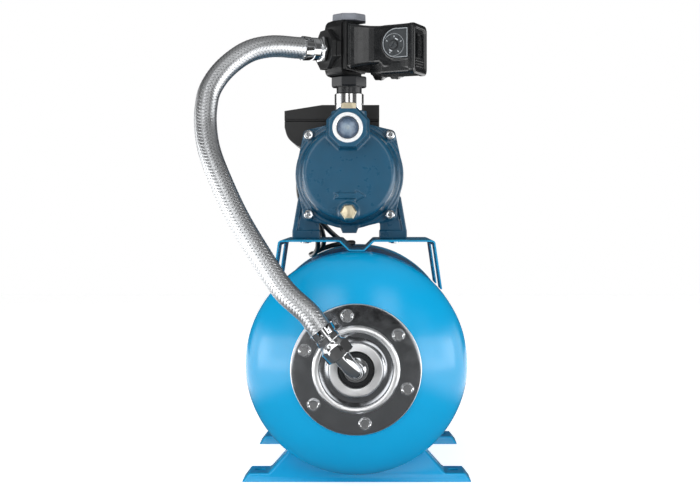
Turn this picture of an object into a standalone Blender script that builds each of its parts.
"""Booster pump set: a jet pump bolted on top of a horizontal 24 litre pressure tank.

Sizes are in metres, +Z is up and the front of the set looks along -Y.
The origin is on the floor under the middle of the rigid pieces.
A depth is measured back from the seam of the tank's front dome.
"""

import math

import bmesh
import bpy
from mathutils import Matrix, Vector

# Clearances
GAP = 0.0003
THREAD_GAP = 0.0005
WELD = 0.000001

# Smoothness of round pieces, in steps per turn
TANK_STEPS = 24
BODY_STEPS = 16
TUBE_STEPS = 16
BOLT_STEPS = 12
SMALL_STEPS = 8

# Pressure tank
TANK_RADIUS = 0.135
TANK_LENGTH = 0.340
DOME_DEPTH = 0.065
TANK_WALL = 0.0016
TANK_CLEARANCE = 0.015
TANK_AXIS_Z = TANK_CLEARANCE + TANK_RADIUS
TANK_TOP_Z = TANK_AXIS_Z + TANK_RADIUS
NECK_RADIUS = 0.046
NECK_RING_RADIUS = 0.074
NECK_RING_THICKNESS = 0.007

# Counterflange, its bolts and the rubber bladder behind it
FLANGE_RADIUS = 0.077
FLANGE_THICKNESS = 0.0025
FLANGE_BEAD_OUTER = 0.0517
FLANGE_BEAD_INNER = 0.0429
FLANGE_BEAD_HEIGHT = 0.0034
FLANGE_GROOVE_RADIUS = 0.0385
FLANGE_DISC_RADIUS = 0.0315
FLANGE_DISC_RISE = 0.0034
FLANGE_BOLT_CIRCLE = 0.064
FLANGE_BOLT_COUNT = 6
FLANGE_BOLT_PHASE = math.radians(39.4)
FLANGE_BOLT_RADIUS = 0.004
FLANGE_BOLT_ACROSS = 0.013
FLANGE_BOLT_HEAD = 0.0055
BLADDER_WALL = 0.002
BLADDER_LIP_RADIUS = 0.058
BLADDER_RADIUS = 0.104
BLADDER_LENGTH = 0.300
PORT_ACROSS = 0.0403
PORT_RECESS = 0.003
PORT_DEPTH = 0.008

# Air valve at the back of the tank
VALVE_REACH = 0.020
VALVE_STEM_RADIUS = 0.004
VALVE_BORE_RADIUS = 0.0022
VALVE_PIN_RADIUS = 0.0010
VALVE_PIN_TRAVEL = 0.0015
VALVE_CAP_RADIUS = 0.0056

# Saddle feet, pressed from sheet
FOOT_DEPTHS = (0.045, 0.276)
FOOT_HALF_WIDTH = 0.1418
FOOT_LENGTH = 0.040
FOOT_WALL = 0.002
FOOT_DRAFT = 0.06
FOOT_DRAFT_MIDDLE = 0.041
FOOT_PAD_HEIGHT = 0.011
FOOT_PAD_OUTER = 0.133
FOOT_PAD_INNER = 0.107
FOOT_SLOPE_TOP = 0.082
FOOT_SLOT_X = 0.121
FOOT_SLOT_WIDTH = 0.009
FOOT_SLOT_LENGTH = 0.013

# Elbow on the tank's water port
ELBOW_REACH = 0.043
ELBOW_BEND_RADIUS = 0.025
ELBOW_TUBE_RADIUS = 0.0095
ELBOW_COLLAR_RADIUS = 0.0146
ELBOW_TAIL_RADIUS = 0.0115
ELBOW_DIRECTION = Vector((-0.61, 0.79, 0.0)).normalized()

# Braided hose and its end fittings
HOSE_RADIUS = 0.0135
HOSE_NUT_ACROSS = 0.030
HOSE_NUT_START = 0.026
HOSE_NUT_LENGTH = 0.021
HOSE_FERRULE_LENGTH = 0.018
HOSE_FERRULE_RADIUS = 0.0142
HOSE_UPPER_NUT_LENGTH = 0.008
HOSE_UPPER_FERRULE_LENGTH = 0.021

# Pump platform, bent from sheet
PLATFORM_RISE = 0.014
PLATFORM_TOP_Z = TANK_TOP_Z + PLATFORM_RISE
PLATFORM_WALL = 0.002
PLATFORM_HALF_WIDTH = 0.097
PLATFORM_LEG_ANGLE = math.radians(40.5)
PLATFORM_FRONT = 0.020
PLATFORM_BACK = 0.197
PLATFORM_FRONT_LEG = 0.050
PLATFORM_REAR_LEG = 0.060
PLATFORM_BEND_RADIUS = 0.004
VALLEY_TOP_HALF = 0.021
VALLEY_BOTTOM_HALF = 0.009

# Pump
PUMP_X = -0.010
PUMP_AXIS_RISE = 0.083
PUMP_AXIS_Z = PLATFORM_TOP_Z + PUMP_AXIS_RISE
PUMP_FLANGE_DEPTH = 0.090
CASING_FLANGE_RADIUS = 0.070
CASING_FLANGE_THICKNESS = 0.008
POT_BASE_RADIUS = 0.0638
POT_FRONT_RADIUS = 0.0590
POT_LENGTH = 0.060
POT_WALL = 0.0055
POT_EDGE_RADIUS = 0.006
SUCTION_X = -0.0009
SUCTION_Y = 0.0555
SUCTION_ACROSS = 0.052
SUCTION_FACE = 0.082
SUCTION_BORE_RADIUS = 0.0139
SUCTION_RING_RADIUS = 0.01865
SUCTION_RING_RISE = 0.001
DELIVERY_OFFSET = 0.025
DELIVERY_BOSS_RADIUS = 0.0225
DELIVERY_TOP = 0.080
DELIVERY_BORE_RADIUS = 0.0165
DRAIN_Y = -0.048
DRAIN_BOSS_RADIUS = 0.0115
DRAIN_BOSS_RISE = 0.005
DRAIN_BORE_RADIUS = 0.0065
DRAIN_ACROSS = 0.018
PRIMING_OFFSET = 0.065
PRIMING_RADIUS = 0.0100
PRIMING_BORE_RADIUS = 0.0080
CASING_SCREW_X = 0.0526
CASING_SCREW_Y = 0.0514
CASING_SCREW_RADIUS = 0.003
CASING_SCREW_HEAD_RADIUS = 0.00615
CASING_SCREW_HEAD = 0.006
CASING_SCREW_SOCKET = 0.005
EAR_RADIUS = 0.0072
LIP_HALF_TOP = 0.0125
LIP_HALF_BOTTOM = 0.009
LIP_BOTTOM = 0.0755
ARROW_RISE = 0.0008
ARROW_OUTLINE = (
    (0.0190, -0.0280), (0.0085, -0.0230), (0.0085, -0.0262), (-0.0170, -0.0262), (-0.0135, -0.0280),
    (-0.0170, -0.0298), (0.0085, -0.0298), (0.0085, -0.0330),
)
GASKET_THICKNESS = 0.0014
GASKET_INNER = 0.0585
GASKET_OUTER = 0.0620

# Impeller and ejector inside the casing
IMPELLER_RADIUS = 0.045
IMPELLER_EYE_RADIUS = 0.0125
IMPELLER_BACK = -0.004
IMPELLER_WIDTH = 0.0115
SHROUD_THICKNESS = 0.002
VANE_COUNT = 6
VANE_THICKNESS = 0.0022
VANE_SWEEP = math.radians(70)
IMPELLER_HUB_RADIUS = 0.009
SEAL_DEPTH = 0.005
DIFFUSER_WALL = 0.003
DIFFUSER_CLEARANCE = 0.0015
EJECTOR_RADIUS = 0.0105
EJECTOR_LENGTH = 0.022

# Shaft, bearings and motor
SHAFT_SEAL_RADIUS = 0.006
SHAFT_BEARING_RADIUS = 0.0075
SHAFT_CORE_RADIUS = 0.0085
SHAFT_FAN_RADIUS = 0.005
BEARING_OUTER_RADIUS = 0.0175
BEARING_WIDTH = 0.011
BRACKET_THICKNESS = 0.008
BRACKET_HUB_RADIUS = 0.0225
FOOT_BLOCK_OUTER = 0.0748
FOOT_BLOCK_INNER = 0.0388
FOOT_BLOCK_HEIGHT = 0.0105
FOOT_BLOCK_BACK = 0.045
PUMP_BOLT_X = 0.058
PUMP_BOLT_DEPTH = 0.120
PUMP_BOLT_RADIUS = 0.004
PUMP_BOLT_ACROSS = 0.013
PUMP_NUT_HEIGHT = 0.0035
MOTOR_START = 0.035
MOTOR_LENGTH = 0.160
MOTOR_RADIUS = 0.0575
MOTOR_FIN_HEIGHT = 0.0035
MOTOR_FIN_COUNT = 26
MOTOR_WALL = 0.0055
CORE_LENGTH = 0.075
CORE_CENTRE = 0.115
ROTOR_RADIUS = 0.030
AIR_GAP = 0.0005
WINDING_OVERHANG = 0.018
END_SHIELD_THICKNESS = 0.008
FAN_COVER_LENGTH = 0.045
FAN_COVER_WALL = 0.0015
FAN_COVER_RADIUS = 0.0625
FAN_RADIUS = 0.052
FAN_BLADES = 8

# Terminal box on the motor
BOX_LEFT = -0.087
BOX_RIGHT = 0.039
BOX_TOP_Z = PUMP_AXIS_Z + 0.0940
BOX_TOP_LEFT_Z = PUMP_AXIS_Z + 0.0860
BOX_LID_Z = PUMP_AXIS_Z + 0.0725
BOX_START = 0.130
BOX_LENGTH = 0.100
BOX_WALL = 0.0025
CAPACITOR_RADIUS = 0.0120
CAPACITOR_INSET = 0.0195
CAPACITOR_Y = 0.0575

# Manifold on the delivery port
NIPPLE_RADIUS = 0.0185
NIPPLE_TOP_Z = PUMP_AXIS_Z + 0.1020
NECK_OUTER_RADIUS = 0.016
UNION_ACROSS = 0.044
UNION_BOTTOM_Z = NIPPLE_TOP_Z + 0.0083
MANIFOLD_BOTTOM_Z = NIPPLE_TOP_Z + 0.0216
MANIFOLD_HEIGHT = 0.0691
MANIFOLD_TOP_Z = MANIFOLD_BOTTOM_Z + MANIFOLD_HEIGHT
MANIFOLD_RADIUS = 0.031
MANIFOLD_BORE_RADIUS = 0.0118
PORT_AXIS_Z = MANIFOLD_BOTTOM_Z + 0.0324
PORT_YAW = math.radians(208)
PORT_OUTLET_ACROSS = 0.049
PORT_OUTLET_REACH = 0.036
TOP_PLUG_ACROSS = 0.042
TOP_PLUG_HEIGHT = 0.0093
VALVE_SEAT_HEIGHT = 0.003
VALVE_SEAT_BORE = 0.0085

# Pressure switch
SWITCH_YAW = math.radians(-24)
SWITCH_WIDE_HALF = 0.028
SWITCH_WAIST_HALF = 0.018
SWITCH_HALF = 0.022
SWITCH_HEAD_START = 0.053
SWITCH_HEAD_END = 0.090
SWITCH_END = 0.098
SWITCH_BOTTOM_Z = MANIFOLD_BOTTOM_Z - 0.0006
SWITCH_TOP_RISE = 0.0604
SWITCH_TOP_Z = MANIFOLD_BOTTOM_Z + SWITCH_TOP_RISE
DIAL_PLATE_Z = MANIFOLD_BOTTOM_Z + 0.0364
DIAL_RADIUS = 0.005

# Cables
CABLE_RADIUS = 0.0035
COIL_RADIUS = 0.040
COIL_THICKNESS = 0.0095
CORD_LEAD = 0.008
PLUG_RADIUS = 0.0185
PLUG_TILT = 16

# The rigid pieces reach from the hose nut in front to the valve cap at the back
FLANGE_PLANE = DOME_DEPTH * math.sqrt(1 - (FLANGE_RADIUS / TANK_RADIUS) ** 2) + 0.0036
ELBOW_DEPTH = FLANGE_PLANE + ELBOW_REACH
FRONT_REACH = ELBOW_DEPTH + HOSE_NUT_ACROSS / 2
REAR_REACH = TANK_LENGTH + DOME_DEPTH + VALVE_REACH
SEAM_Y = (FRONT_REACH - REAR_REACH) / 2


def clear_scene():
    """Remove every object of the open file."""
    for obj in list(bpy.data.objects):
        bpy.data.objects.remove(obj, do_unlink=True)


def linear(channel):
    """Turn one sRGB channel (0 to 1) into its linear value."""
    if channel <= 0.04045:
        return channel / 12.92
    return ((channel + 0.055) / 1.055) ** 2.4


def finish(name, colour, roughness, metallic):
    """Make a material from an sRGB hex colour."""
    paint = bpy.data.materials.new(name)
    paint.use_nodes = True
    shader = paint.node_tree.nodes["Principled BSDF"]
    rgb = [linear(int(colour[i:i + 2], 16) / 255) for i in (0, 2, 4)]
    shader.inputs["Base Color"].default_value = (*rgb, 1.0)
    shader.inputs["Roughness"].default_value = roughness
    shader.inputs["Metallic"].default_value = metallic
    return paint


def facing_front(x, depth, z):
    """Frame whose XY plane is the front view and whose +Z looks at the viewer."""
    turn = Matrix.Rotation(math.radians(90), 4, "X")
    return Matrix.Translation((x, SEAM_Y + depth, z)) @ turn


def standing(x, depth, z, yaw=0.0):
    """Upright frame with +X turned by yaw."""
    return Matrix.Translation((x, SEAM_Y + depth, z)) @ Matrix.Rotation(yaw, 4, "Z")


def along(origin, direction):
    """Frame at origin whose +Z runs along direction."""
    turn = direction.to_track_quat("Z", "Y").to_matrix().to_4x4()
    return Matrix.Translation(origin) @ turn


def hexagon_turn():
    """Quarter-step turn that sets a hexagon on its flat."""
    return Matrix.Rotation(math.radians(30), 4, "Z")


def regular(count, across):
    """Outline of a regular polygon by its width across flats, a flat on each side."""
    radius = across / 2 / math.cos(math.pi / count)
    start = math.pi / count
    return [
        (radius * math.cos(start + 2 * math.pi * i / count),
         radius * math.sin(start + 2 * math.pi * i / count))
        for i in range(count)
    ]


def rounded(left, right, bottom, top, radius, steps=3):
    """Outline of a rectangle with round corners."""
    corners = (
        (right - radius, top - radius, 0),
        (left + radius, top - radius, 90),
        (left + radius, bottom + radius, 180),
        (right - radius, bottom + radius, 270),
    )
    outline = []
    for x, y, start in corners:
        for i in range(steps + 1):
            angle = math.radians(start + 90 * i / steps)
            outline.append((x + radius * math.cos(angle), y + radius * math.sin(angle)))
    return outline


def arc(x, y, radius, start, end, steps):
    """Points on an arc between two angles in degrees."""
    return [
        (x + radius * math.cos(math.radians(start + (end - start) * i / steps)),
         y + radius * math.sin(math.radians(start + (end - start) * i / steps)))
        for i in range(steps + 1)
    ]


def lathe(bm, profile, steps, loop=False, at=None):
    """Turn a profile of (radius, height) points round the local Z axis."""
    verts = [bm.verts.new((radius, 0, height)) for radius, height in profile]
    edges = [bm.edges.new(pair) for pair in zip(verts, verts[1:])]
    if loop:
        edges.append(bm.edges.new((verts[-1], verts[0])))
    before = set(bm.verts) - set(verts)
    bmesh.ops.spin(bm, geom=verts + edges, cent=(0, 0, 0), axis=(0, 0, 1),
                   angle=2 * math.pi, steps=steps, use_merge=True)
    turned = [vert for vert in bm.verts if vert not in before]
    bmesh.ops.remove_doubles(bm, verts=turned, dist=WELD)
    if at is not None:
        moved = [vert for vert in bm.verts if vert not in before]
        bmesh.ops.transform(bm, matrix=at, verts=moved)


def loft(bm, loops, at=None):
    """Skin a row of loops that have equal counts, and cap both ends."""
    rows = []
    for loop in loops:
        points = [at @ Vector(point) if at is not None else Vector(point) for point in loop]
        rows.append([bm.verts.new(point) for point in points])
    count = len(rows[0])
    for low, high in zip(rows, rows[1:]):
        for i in range(count):
            j = (i + 1) % count
            bm.faces.new((low[i], low[j], high[j], high[i]))
    bm.faces.new(rows[0])
    bm.faces.new(rows[-1])
    return rows


def prism(bm, outline, low, high, at=None, taper=1.0):
    """Extrude an outline along local Z, scaled by taper at the high end."""
    bottom = [(x, y, low) for x, y in outline]
    top = [(x * taper, y * taper, high) for x, y in outline]
    return loft(bm, (bottom, top), at)


def cylinder(bm, radius, low, high, steps, at=None):
    """Extrude a circle along local Z."""
    outline = [
        (radius * math.cos(2 * math.pi * i / steps), radius * math.sin(2 * math.pi * i / steps))
        for i in range(steps)
    ]
    return prism(bm, outline, low, high, at)


def block(bm, left, right, front, back, low, high, at=None):
    """Make a box from its six sides."""
    outline = ((left, front), (right, front), (right, back), (left, back))
    return prism(bm, outline, low, high, at)


def smooth_line(points, per_span):
    """Points on a smooth curve through hand-chosen points."""
    line = [Vector(point) for point in points]
    ends = [2 * line[0] - line[1]] + line + [2 * line[-1] - line[-2]]
    curve = []
    for before, start, end, after in zip(ends, ends[1:], ends[2:], ends[3:]):
        for i in range(per_span):
            t = i / per_span
            curve.append(0.5 * (2 * start + (end - before) * t
                                + (2 * before - 5 * start + 4 * end - after) * t ** 2
                                + (3 * start - before - 3 * end + after) * t ** 3))
    curve.append(line[-1])
    return curve


def bent_sheet(path, radius, thickness, steps=3):
    """Outline of a bent sheet from its centre path, with round bends."""
    centre = [Vector(path[0])]
    for before, corner, after in zip(path, path[1:], path[2:]):
        corner = Vector(corner)
        inward = (Vector(before) - corner).normalized()
        onward = (Vector(after) - corner).normalized()
        half = inward.angle(onward) / 2
        reach = radius / math.tan(half)
        start = corner + inward * reach
        end = corner + onward * reach
        for i in range(steps + 1):
            t = i / steps
            centre.append((1 - t) ** 2 * start + 2 * t * (1 - t) * corner + t ** 2 * end)
    centre.append(Vector(path[-1]))
    left, right = [], []
    for i, point in enumerate(centre):
        back = centre[max(i - 1, 0)]
        ahead = centre[min(i + 1, len(centre) - 1)]
        run = (ahead - back).normalized()
        side = Vector((-run.y, run.x)) * thickness / 2
        left.append(tuple(point + side))
        right.append(tuple(point - side))
    return left + right[::-1]


def make(name, bm, paint, place, parent=None, sharp=35):
    """Put a mesh into the scene as one named piece."""
    bmesh.ops.recalc_face_normals(bm, faces=bm.faces)
    mesh = bpy.data.meshes.new(name)
    bm.to_mesh(mesh)
    bm.free()
    mesh.shade_smooth()
    mesh.set_sharp_from_angle(angle=math.radians(sharp))
    obj = bpy.data.objects.new(name, mesh)
    bpy.context.collection.objects.link(obj)
    if paint is not None:
        obj.data.materials.append(paint)
    obj.matrix_basis = place
    if parent is not None:
        obj.parent = parent
        obj.matrix_basis = parent.matrix_basis.inverted() @ place
    return obj


def axis_empty(name, place):
    """Empty on a joint's axis, which carries the pieces that move with it."""
    empty = bpy.data.objects.new(name, None)
    bpy.context.collection.objects.link(empty)
    empty.matrix_basis = place
    return empty


def combine(target, bm, operation):
    """Join a shape to a piece, or cut it away, with a hidden operand."""
    label = f"{target.name}_{operation.lower()}_{len(target.modifiers)}"
    operand = make(label, bm, None, Matrix())
    operand.parent = target
    operand.display_type = "WIRE"
    operand.hide_render = True
    modifier = target.modifiers.new(label, "BOOLEAN")
    modifier.operation = operation
    modifier.object = operand


def add(target, bm):
    """Join a shape to a piece."""
    combine(target, bm, "UNION")


def cut(target, bm):
    """Cut a shape away from a piece."""
    combine(target, bm, "DIFFERENCE")


def round_loop(radius, height, count=BOLT_STEPS):
    """Ring of points at a height."""
    return [
        (radius * math.cos(2 * math.pi * i / count), radius * math.sin(2 * math.pi * i / count), height)
        for i in range(count)
    ]


def hex_loop(across, height, count=BOLT_STEPS):
    """Ring of points on a hexagon: its corners and the middles of its flats."""
    radii = (across / math.sqrt(3), across / 2)
    return [
        (radii[i % 2] * math.cos(2 * math.pi * i / count),
         radii[i % 2] * math.sin(2 * math.pi * i / count), height)
        for i in range(count)
    ]


def hex_bolt(bm, at, shank_radius, shank_length, across, head, washer_radius=0.0, washer=0.0):
    """Hex bolt whose seat is at local z = 0 and whose head points to +Z."""
    loops = [
        round_loop(shank_radius, -shank_length),
        round_loop(shank_radius, 0),
    ]
    if washer:
        loops += [round_loop(washer_radius, 0), round_loop(washer_radius, washer)]
    loops += [
        hex_loop(across, washer),
        hex_loop(across, washer + head * 0.85),
        round_loop(across * 0.44, washer + head),
    ]
    loft(bm, loops, at)


def socket_screw(bm, at, shank_radius, shank_length, head_radius, head, socket_across):
    """Cap screw with a hexagon socket, its seat at local z = 0."""
    socket_depth = head * 0.55
    loft(bm, [
        round_loop(shank_radius, -shank_length),
        round_loop(shank_radius, 0),
        round_loop(head_radius, 0),
        round_loop(head_radius, head * 0.88),
        round_loop(head_radius * 0.88, head),
        hex_loop(socket_across, head),
        hex_loop(socket_across, head - socket_depth),
    ], at)


def sweep(bm, points, radii, steps, at=None):
    """Skin a round bar along a path, with a radius at each point."""
    path = [Vector(point) for point in points]
    side = (path[1] - path[0]).orthogonal().normalized()
    loops = []
    for i, (point, radius) in enumerate(zip(path, radii)):
        back = path[max(i - 1, 0)]
        ahead = path[min(i + 1, len(path) - 1)]
        run = (ahead - back).normalized()
        side = (side - side.dot(run) * run).normalized()
        other = run.cross(side)
        loops.append([
            tuple(point + radius * (math.cos(2 * math.pi * k / steps) * side
                                    + math.sin(2 * math.pi * k / steps) * other))
            for k in range(steps)
        ])
    loft(bm, loops, at)


def dome_line(radius, depth, start, end, steps):
    """Quarter ellipse of a tank end as (radius, height) points between two angles."""
    return [
        (radius * math.sin(math.radians(start + (end - start) * i / steps)),
         depth * math.cos(math.radians(start + (end - start) * i / steps)))
        for i in range(steps + 1)
    ]


def flange_bolt_frames(height):
    """Frames of the counterflange bolts, at a height in the tank's frame."""
    for i in range(FLANGE_BOLT_COUNT):
        angle = FLANGE_BOLT_PHASE + 2 * math.pi * i / FLANGE_BOLT_COUNT
        yield Matrix.Translation((FLANGE_BOLT_CIRCLE * math.cos(angle),
                                  FLANGE_BOLT_CIRCLE * math.sin(angle), height))


def flange_bolt_holes():
    """Cutter for the holes of the counterflange bolts."""
    bm = bmesh.new()
    for at in flange_bolt_frames(FLANGE_PLANE):
        reach = NECK_RING_THICKNESS + 0.010
        cylinder(bm, FLANGE_BOLT_RADIUS + THREAD_GAP, -reach, 0.002, SMALL_STEPS, at)
    return bm


RING_FACE = FLANGE_PLANE - FLANGE_THICKNESS - BLADDER_WALL - 2 * GAP


def build_tank(paints):
    """Hollow steel tank with its welded neck ring and the hole of the air valve."""
    ring_edge = NECK_RING_RADIUS + 0.0025
    outer_start = math.degrees(math.asin(ring_edge / TANK_RADIUS))
    ring_back = RING_FACE - NECK_RING_THICKNESS
    inner_radius = TANK_RADIUS - TANK_WALL
    inner_depth = DOME_DEPTH - TANK_WALL
    inner_start = math.degrees(math.acos(ring_back / inner_depth))
    valve_hole = VALVE_STEM_RADIUS + GAP
    outer_end = math.degrees(math.asin(valve_hole / TANK_RADIUS))
    inner_end = math.degrees(math.asin(valve_hole / inner_radius))
    front = dome_line(TANK_RADIUS, DOME_DEPTH, outer_start, 90, 5)
    back = dome_line(TANK_RADIUS, DOME_DEPTH, 90, outer_end, 6)
    inner_back = dome_line(inner_radius, inner_depth, inner_end, 90, 4)
    inner_front = dome_line(inner_radius, inner_depth, 90, inner_start, 2)
    profile = [(NECK_RADIUS, RING_FACE), (NECK_RING_RADIUS, RING_FACE)]
    profile += front
    profile += [(radius, -TANK_LENGTH - height) for radius, height in back]
    profile += [(radius, -TANK_LENGTH - height) for radius, height in inner_back]
    profile += inner_front
    profile += [(NECK_RADIUS, ring_back)]
    bm = bmesh.new()
    lathe(bm, profile, TANK_STEPS, loop=True)
    tank = make("tank_shell", bm, paints["tank"], facing_front(0, 0, TANK_AXIS_Z))
    cut(tank, flange_bolt_holes())


def build_bladder(paints):
    """Rubber bladder that hangs in the tank from its clamped lip."""
    neck = NECK_RADIUS - 0.0006
    power = 0.6
    half = (BLADDER_LENGTH + 0.040) / 2
    middle = half - BLADDER_LENGTH
    start = math.asin((neck / BLADDER_RADIUS) ** (1 / power))
    steps = 6

    def bulb(offset):
        points = []
        for i in range(steps + 1):
            t = start + (math.pi - start) * i / steps
            swell = max(math.sin(t), 0.0) ** power
            points.append((BLADDER_RADIUS * swell - offset * min(1.0, swell * 4),
                           middle + (half - offset) * math.cos(t)))
        points[-1] = (0.0, middle - half + offset)
        return points

    back = RING_FACE + GAP
    front = back + BLADDER_WALL
    profile = bulb(0)[::-1]
    profile += [(neck, back), (BLADDER_LIP_RADIUS, back), (BLADDER_LIP_RADIUS, front)]
    profile += [(neck - BLADDER_WALL, front)]
    profile += bulb(BLADDER_WALL)
    bm = bmesh.new()
    lathe(bm, profile, TUBE_STEPS)
    make("bladder", bm, paints["rubber"], facing_front(0, 0, TANK_AXIS_Z))


def build_counterflange(paints):
    """Pressed zinc-plated flange with a bead ring, a raised disc and the water port."""
    back = FLANGE_PLANE - FLANGE_THICKNESS
    disc = FLANGE_PLANE + FLANGE_DISC_RISE
    edge = 0.0006
    hub = PORT_ACROSS / 2 + 0.0045
    bead_middle = (FLANGE_BEAD_OUTER + FLANGE_BEAD_INNER) / 2
    bead_half = (FLANGE_BEAD_OUTER - FLANGE_BEAD_INNER) / 2
    bead = [
        (bead_middle + bead_half * math.cos(math.radians(a)),
         FLANGE_PLANE + FLANGE_BEAD_HEIGHT * math.sin(math.radians(a)))
        for a in (0, 45, 90, 135, 180)
    ]
    profile = [(0, disc), (FLANGE_DISC_RADIUS - edge, disc), (FLANGE_DISC_RADIUS, disc - edge)]
    profile += [(FLANGE_GROOVE_RADIUS, FLANGE_PLANE - edge)]
    profile += bead[::-1]
    profile += [(FLANGE_RADIUS - edge, FLANGE_PLANE), (FLANGE_RADIUS, FLANGE_PLANE - edge)]
    profile += [(FLANGE_RADIUS, back), (hub, back), (hub, disc - PORT_DEPTH - PORT_RECESS)]
    profile += [(0, disc - PORT_DEPTH - PORT_RECESS)]
    bm = bmesh.new()
    lathe(bm, profile[::-1], TANK_STEPS)
    place = facing_front(0, 0, TANK_AXIS_Z)
    flange = make("counterflange", bm, paints["zinc"], place)
    cut(flange, flange_bolt_holes())
    bore = bmesh.new()
    prism(bore, regular(8, PORT_ACROSS), disc - PORT_DEPTH - PORT_RECESS - 0.002, disc + 0.002)
    cut(flange, bore)

    for i, at in enumerate(flange_bolt_frames(FLANGE_PLANE + GAP)):
        bm = bmesh.new()
        hex_bolt(bm, Matrix(), FLANGE_BOLT_RADIUS, NECK_RING_THICKNESS + 0.003,
                 FLANGE_BOLT_ACROSS, FLANGE_BOLT_HEAD, FLANGE_BOLT_ACROSS * 0.6, 0.0012)
        make(f"flange_bolt_{i + 1}", bm, paints["zinc"], place @ at)

    bm = bmesh.new()
    face = disc - PORT_RECESS
    prism(bm, regular(8, PORT_ACROSS - 2 * GAP), disc - PORT_DEPTH - PORT_RECESS, face)
    fitting = make("port_fitting", bm, paints["black_steel"], place)
    bore = bmesh.new()
    cylinder(bore, ELBOW_TAIL_RADIUS + THREAD_GAP, face - 0.030, face + 0.001, TUBE_STEPS)
    cut(fitting, bore)


def build_air_valve(paints):
    """Charging valve in the rear dome: stem, spring-loaded core and screwed cap."""
    place = facing_front(0, 0, TANK_AXIS_Z)
    wall = -TANK_LENGTH - DOME_DEPTH
    base_radius = 0.0075
    seat = wall + 0.004
    stem_end = wall - VALVE_REACH + 0.006
    inner_end = wall + 0.012
    throat = VALVE_PIN_RADIUS + GAP
    bm = bmesh.new()
    profile = [
        (VALVE_STEM_RADIUS, inner_end), (VALVE_STEM_RADIUS, wall - GAP - 0.0003),
        (base_radius, wall - GAP - 0.0003), (base_radius, wall - 0.002),
        (VALVE_STEM_RADIUS, wall - 0.0025), (VALVE_STEM_RADIUS, stem_end),
        (VALVE_BORE_RADIUS, stem_end), (VALVE_BORE_RADIUS, seat), (throat, seat),
        (throat, inner_end),
    ]
    lathe(bm, profile, SMALL_STEPS, loop=True)
    make("air_valve_stem", bm, paints["brass"], place)

    tip = stem_end + 0.0005
    shoulder = VALVE_BORE_RADIUS - GAP
    bm = bmesh.new()
    lathe(bm, [
        (0, inner_end + 0.0030), (shoulder, inner_end + 0.0030), (shoulder, inner_end + GAP),
        (VALVE_PIN_RADIUS, inner_end + GAP), (VALVE_PIN_RADIUS, seat - VALVE_PIN_TRAVEL - 0.001),
        (shoulder, seat - VALVE_PIN_TRAVEL - 0.001), (shoulder, seat - VALVE_PIN_TRAVEL - 0.002),
        (VALVE_PIN_RADIUS, seat - VALVE_PIN_TRAVEL - 0.002), (VALVE_PIN_RADIUS, tip), (0, tip),
    ], SMALL_STEPS)
    make("air_valve_core", bm, paints["brass"], place)

    rear = wall - VALVE_REACH
    bm = bmesh.new()
    inner = VALVE_STEM_RADIUS + GAP
    lathe(bm, [
        (0, rear), (VALVE_CAP_RADIUS - 0.0008, rear), (VALVE_CAP_RADIUS, rear + 0.0008),
        (VALVE_CAP_RADIUS, wall - 0.0035), (inner, wall - 0.0035), (inner, rear + 0.0025),
        (0, rear + 0.0025),
    ], SMALL_STEPS)
    make("air_valve_cap", bm, paints["black"], place)


def foot_outline(inset):
    """Front outline of a saddle foot, drawn smaller by the sheet's wall when hollow."""
    seat_radius = TANK_RADIUS + GAP + inset
    low = -0.002 if inset else 0.0
    slope_rise = TANK_AXIS_Z - math.sqrt(seat_radius ** 2 - FOOT_SLOPE_TOP ** 2)
    half = [
        (FOOT_HALF_WIDTH - inset * 1.15, low),
        (FOOT_PAD_OUTER + 0.0015 - inset, FOOT_PAD_HEIGHT - inset - 0.0012),
        (FOOT_PAD_OUTER - inset, FOOT_PAD_HEIGHT - inset),
        (FOOT_PAD_INNER + 0.003 - inset * 0.4, FOOT_PAD_HEIGHT - inset),
        (FOOT_PAD_INNER - inset * 0.7, FOOT_PAD_HEIGHT + 0.002 - inset),
        (FOOT_SLOPE_TOP + 0.0025 - inset * 0.7, slope_rise - 0.004 - inset * 0.7),
    ]
    steps = 12
    reach = math.asin(FOOT_SLOPE_TOP / seat_radius)
    saddle = [
        (seat_radius * math.sin(reach * (1 - 2 * i / steps)),
         TANK_AXIS_Z - seat_radius * math.cos(reach * (1 - 2 * i / steps)))
        for i in range(steps + 1)
    ]
    return half + saddle + [(-x, z) for x, z in half[::-1]]


def foot_solid(inset):
    """Saddle foot as a solid whose webs lean outwards towards the floor."""
    bm = bmesh.new()
    half = FOOT_LENGTH / 2 - inset
    prism(bm, foot_outline(inset), -half, half)
    for vert in bm.verts:
        vert.co.z += math.copysign(FOOT_DRAFT * (FOOT_DRAFT_MIDDLE - vert.co.y), vert.co.z)
    return bm


def build_feet(paints):
    """Two saddle feet with slotted pads, open underneath."""
    for name, depth in zip(("front_foot", "rear_foot"), FOOT_DEPTHS):
        foot = make(name, foot_solid(0), paints["tank"], facing_front(0, depth, 0))
        cut(foot, foot_solid(FOOT_WALL))
        slots = bmesh.new()
        level = Matrix.Rotation(math.radians(-90), 4, "X")
        for side in (-1, 1):
            slot = rounded(
                side * FOOT_SLOT_X - FOOT_SLOT_LENGTH / 2, side * FOOT_SLOT_X + FOOT_SLOT_LENGTH / 2,
                -FOOT_SLOT_WIDTH / 2, FOOT_SLOT_WIDTH / 2, FOOT_SLOT_WIDTH / 2 - 0.0002)
            prism(slots, slot, FOOT_PAD_HEIGHT - FOOT_WALL * 2, FOOT_PAD_HEIGHT + 0.002, level)
        cut(foot, slots)


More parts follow.
